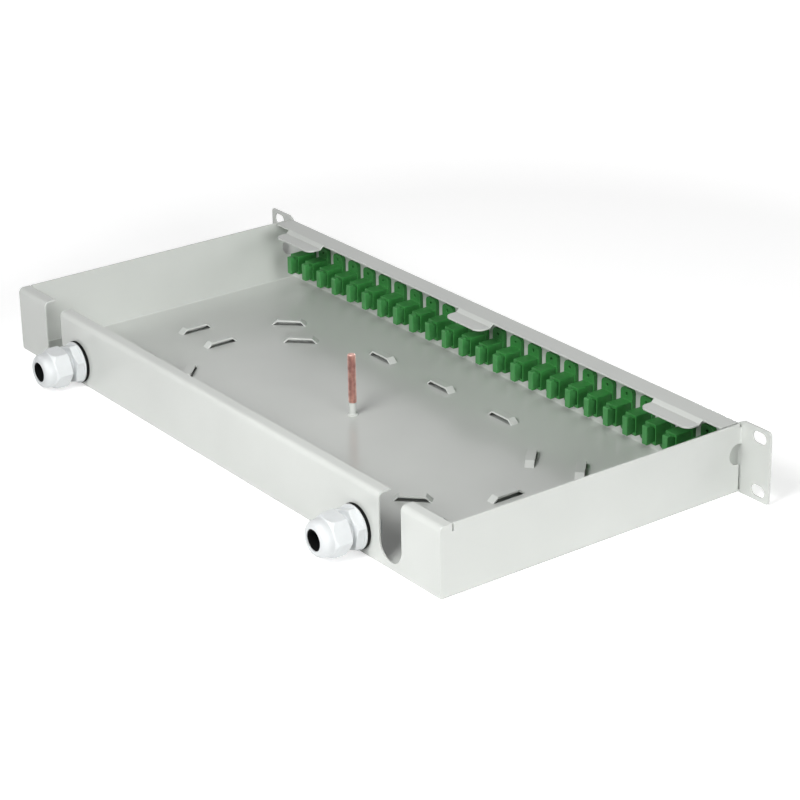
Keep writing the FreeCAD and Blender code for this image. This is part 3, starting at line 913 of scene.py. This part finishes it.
# %% Stud
STUD = 2.5                  # radius of the thread's crests
STUD_PITCH = 0.8
STUD_DEPTH = 0.45
STUD_STEPS = 24             # points in one turn of the thread
STUD_SHANK = 2.15
STUD_SHANK_LENGTH = 8.5
STUD_FOOT_THICKNESS = 0.8
STUD_FOOT_SLOPE = 0.25      # rise of the paint from the foot to the shank
STUD_EDGE = 0.2
STUD_POINT = 0.6            # how far the end is turned down
STUD_CLEAR = 0.2            # between the crests and the turning
STUD_ROUND = 40

stud_low, stud_high = node_box("tray_stud")
stud_x = (stud_low.x + stud_high.x) / 2
stud_y = (stud_low.y + stud_high.y) / 2
stud_foot = (stud_high.x - stud_low.x) / 2
thread_start = stud_low.z + STUD_SHANK_LENGTH
foot_top = stud_low.z + STUD_FOOT_THICKNESS


def stood(obj):
    """Turn a piece from lying along Y at the origin to standing at the stud's place."""
    only(obj)
    obj.rotation_euler[0] = math.pi / 2
    obj.location = (stud_x * MM, stud_y * MM, 0)
    bpy.ops.object.transform_apply(location=True, rotation=True, scale=True)
    return obj


def stud_base():
    """The painted foot and plain shank."""
    profile = [(stud_foot, stud_low.z), (stud_foot, foot_top),
               (STUD_SHANK, foot_top + STUD_FOOT_SLOPE), (STUD_SHANK, thread_start)]
    return soften(stood(turned("stud_base", profile, 0, 0, STUD_ROUND)), STUD_EDGE)


def stud_thread():
    """The copper thread, turned down at its end."""
    obj = threaded("stud_thread", STUD, STUD_DEPTH, STUD_PITCH, thread_start, stud_high.z, 0, 0, STUD_STEPS)
    outside, end = STUD + STUD_CLEAR, STUD - STUD_POINT
    point = [(outside, thread_start - OVERCUT), (outside, stud_high.z - STUD_POINT - STUD_CLEAR),
             (end, stud_high.z), (end, stud_high.z + OVERCUT)]
    combine(obj, turned("point", point, 0, 0, STUD_ROUND), "INTERSECT")
    return shade(stood(obj))


dress(stud_base(), "panel", "powder_coat", powder_coat, "tray_stud")
dress(stud_thread(), "panel", "copper_plate", copper, "tray_stud")

# %% [markdown]
# ## Floor
# The photograph is a studio cut-out on white. The part stands on white paper that keeps its soft shadow.
# Real paper under these lamps would come out grey, so its brightness is lifted for the camera and for
# reflections alone, more so away from the part, and not at all under the tray. There the paper is painted
# a darker grey as shade, and the slots of the bridges look down onto that painted shade.

# %% White paper floor with painted shade under the tray
FLOOR_SIZE = 12.0           # metres
FLOOR_GAP = 0.05            # mm below the underside
PAINTED_SHADE_INSET = 3.0           # mm, the painted shade on the paper ends this far inside the tray's walls
LIFT_NEAR, LIFT_FAR = 0.55, 1.0
LIFT_FROM, LIFT_TO = 0.35, 0.75     # metres from the origin between which the lift grows


def maths(tree, operation, first, second=0.0):
    """The result of a Math node on two values or sockets."""
    return add(tree, "Math", {0: first, 1: second}, operation=operation).outputs[0]


def seen_directly(tree):
    """One for what the camera sees straight, mirrored or through a clear piece, and else zero."""
    path = add(tree, "LightPath", {}).outputs
    mirrored = maths(tree, "MAXIMUM", path["Is Camera Ray"], path["Is Glossy Ray"])
    return maths(tree, "MAXIMUM", mirrored, path["Is Transmission Ray"])


bpy.ops.object.select_all(action="DESELECT")
bpy.ops.mesh.primitive_plane_add(size=FLOOR_SIZE, location=(0, 0, cad_box[0].z - FLOOR_GAP * MM))
bpy.ops.object.transform_apply(location=True)
floor = bpy.context.object
floor.name = "studio_floor"

paper, tree, shader = finish("white paper floor with painted shade", Roughness=0.9, Emission_Color=(1, 1, 1, 1))
where = add(tree, "TexCoord", {}).outputs["Object"]
spot = add(tree, "SeparateXYZ", {0: where}).outputs
across = maths(tree, "ABSOLUTE", spot["X"])
along = maths(tree, "ABSOLUTE", maths(tree, "SUBTRACT", spot["Y"], tray_rear / 2 * MM))
beside = maths(tree, "GREATER_THAN", across, (tray_side - PAINTED_SHADE_INSET) * MM)
behind = maths(tree, "GREATER_THAN", along, (tray_rear / 2 - PAINTED_SHADE_INSET) * MM)
# one on open paper, and zero under the tray, where the paper is painted as shade
outside_painted_shade = maths(tree, "MAXIMUM", beside, behind)
ground = add(tree, "ValToRGB", {"Fac": outside_painted_shade})
# painted shade: the paper under the tray is coloured a darker grey, standing in for the tray's shadow
ground.color_ramp.elements[0].color = colour("#9A9B9A")
ground.color_ramp.elements[1].color = colour("#EDEDED")
tree.links.new(ground.outputs["Color"], shader.inputs["Base Color"])
away = add(tree, "VectorMath", {0: where}, operation="LENGTH").outputs["Value"]
lift = add(tree, "MapRange", {"Value": away, "From Min": LIFT_FROM, "From Max": LIFT_TO,
                              "To Min": LIFT_NEAR, "To Max": LIFT_FAR}).outputs["Result"]
shown = maths(tree, "MULTIPLY", seen_directly(tree), outside_painted_shade)
tree.links.new(maths(tree, "MULTIPLY", shown, lift), shader.inputs["Emission Strength"])
floor.data.materials.append(paper)
print("floor at z in mm:", round(cad_box[0].z / MM - FLOOR_GAP, 2))

# %% [markdown]
# ## Background
# The background is white only to the camera and to reflections, by Light Path, so that it adds no light
# to the object and all of the light comes from lamps that can be placed.

# %% White background
world = bpy.data.worlds.new("studio")
bpy.context.scene.world = world
world.use_nodes = True
tree = world.node_tree
tree.nodes.clear()
sky = add(tree, "Background", {"Color": (1, 1, 1, 1), "Strength": seen_directly(tree)})
add(tree, "OutputWorld", {"Surface": sky.outputs["Background"]})
print("background:", world.name)

# %% [markdown]
# ## Lamps
# The light is soft. The upright walls are brighter than the floor of the tray, so most of it comes low
# from the camera's side; the nearest corner is the brightest, so one lamp stands close to it. Another, far
# round to the left, draws the bright line along the fold of the rear lip. Their powers were worked out
# from the brightness of walls, floor and flanges. A low strip on the far side lights the front panel,
# which the photograph does not show, and only grazes the flanges that it does.

# %% Six soft lamps
CAMERA_AZIMUTH = 233.921    # degrees, 0 looks along +Y
CAMERA_ELEVATION = 23.279
CAMERA_ROLL = -1.091
CAMERA_DISTANCE = 1.53103   # metres
CAMERA_LENS = 114.66        # mm, on a sensor of the width below
CAMERA_SENSOR = 36
CAMERA_TARGET = Vector((0.494, 70.851, -20.668)) * MM


def direction(azimuth, elevation):
    """The unit vector from the target towards a camera or lamp."""
    a, e = math.radians(azimuth), math.radians(elevation)
    return Vector((math.sin(a) * math.cos(e), -math.cos(a) * math.cos(e), math.sin(e)))


def lamp(name, aim, left_of_camera, elevation, distance, width, height, power):
    """A soft lamp that points at a place on the object; angles in degrees, lengths in metres."""
    data = bpy.data.lights.new(name, "AREA")
    data.shape = "RECTANGLE"
    data.size = width
    data.size_y = height
    data.energy = power
    obj = bpy.data.objects.new(name, data)
    obj.visible_camera = False
    bpy.context.collection.objects.link(obj)
    towards = direction(CAMERA_AZIMUTH - left_of_camera, elevation)
    obj.location = aim + towards * distance
    obj.rotation_euler = towards.to_track_quat("Z", "Y").to_euler()
    print(name, "of", power, "W at", distance, "m")


near_corner = Vector((-tray_side, tray_rear, 0)) * MM
# aim, degrees left of the camera, elevation, distance, width, height, watts
lamp("left softbox", CAMERA_TARGET, 40, 45, 1.1, 0.6, 0.6, 4.9)
lamp("corner softbox", near_corner, 45, 45, 0.7, 0.35, 0.35, 3.0)
lamp("camera softbox", CAMERA_TARGET, -30, 15, 2.4, 0.9, 0.9, 27.0)
lamp("right softbox", CAMERA_TARGET, -85, 15, 2.4, 0.9, 0.9, 11.0)
lamp("rim softbox", CAMERA_TARGET, 112, 30, 2.2, 0.45, 0.45, 2.5)
lamp("far strip", CAMERA_TARGET, 214, 2.5, 2.0, 1.2, 0.12, 18.0)

# %% [markdown]
# ## Camera
# The camera stands where the photograph was taken from: behind the tray's rear left corner, looking down
# at about twenty-three degrees. Its angles, distance and lens were solved from the tray's corners, whose
# real places are known.

# %% Camera
camera_data = bpy.data.cameras.new("camera")
camera_data.lens = CAMERA_LENS
camera_data.sensor_width = CAMERA_SENSOR
camera = bpy.data.objects.new("camera", camera_data)
bpy.context.collection.objects.link(camera)
towards = direction(CAMERA_AZIMUTH, CAMERA_ELEVATION)
roll = Quaternion((0, 0, 1), math.radians(CAMERA_ROLL))
camera.location = CAMERA_TARGET + towards * CAMERA_DISTANCE
camera.rotation_mode = "QUATERNION"
camera.rotation_quaternion = towards.to_track_quat("Z", "Y") @ roll
bpy.context.scene.camera = camera
bpy.context.scene.view_settings.view_transform = "Standard"
print("camera at", [round(v, 3) for v in camera.location], "m, lens", CAMERA_LENS, "mm")
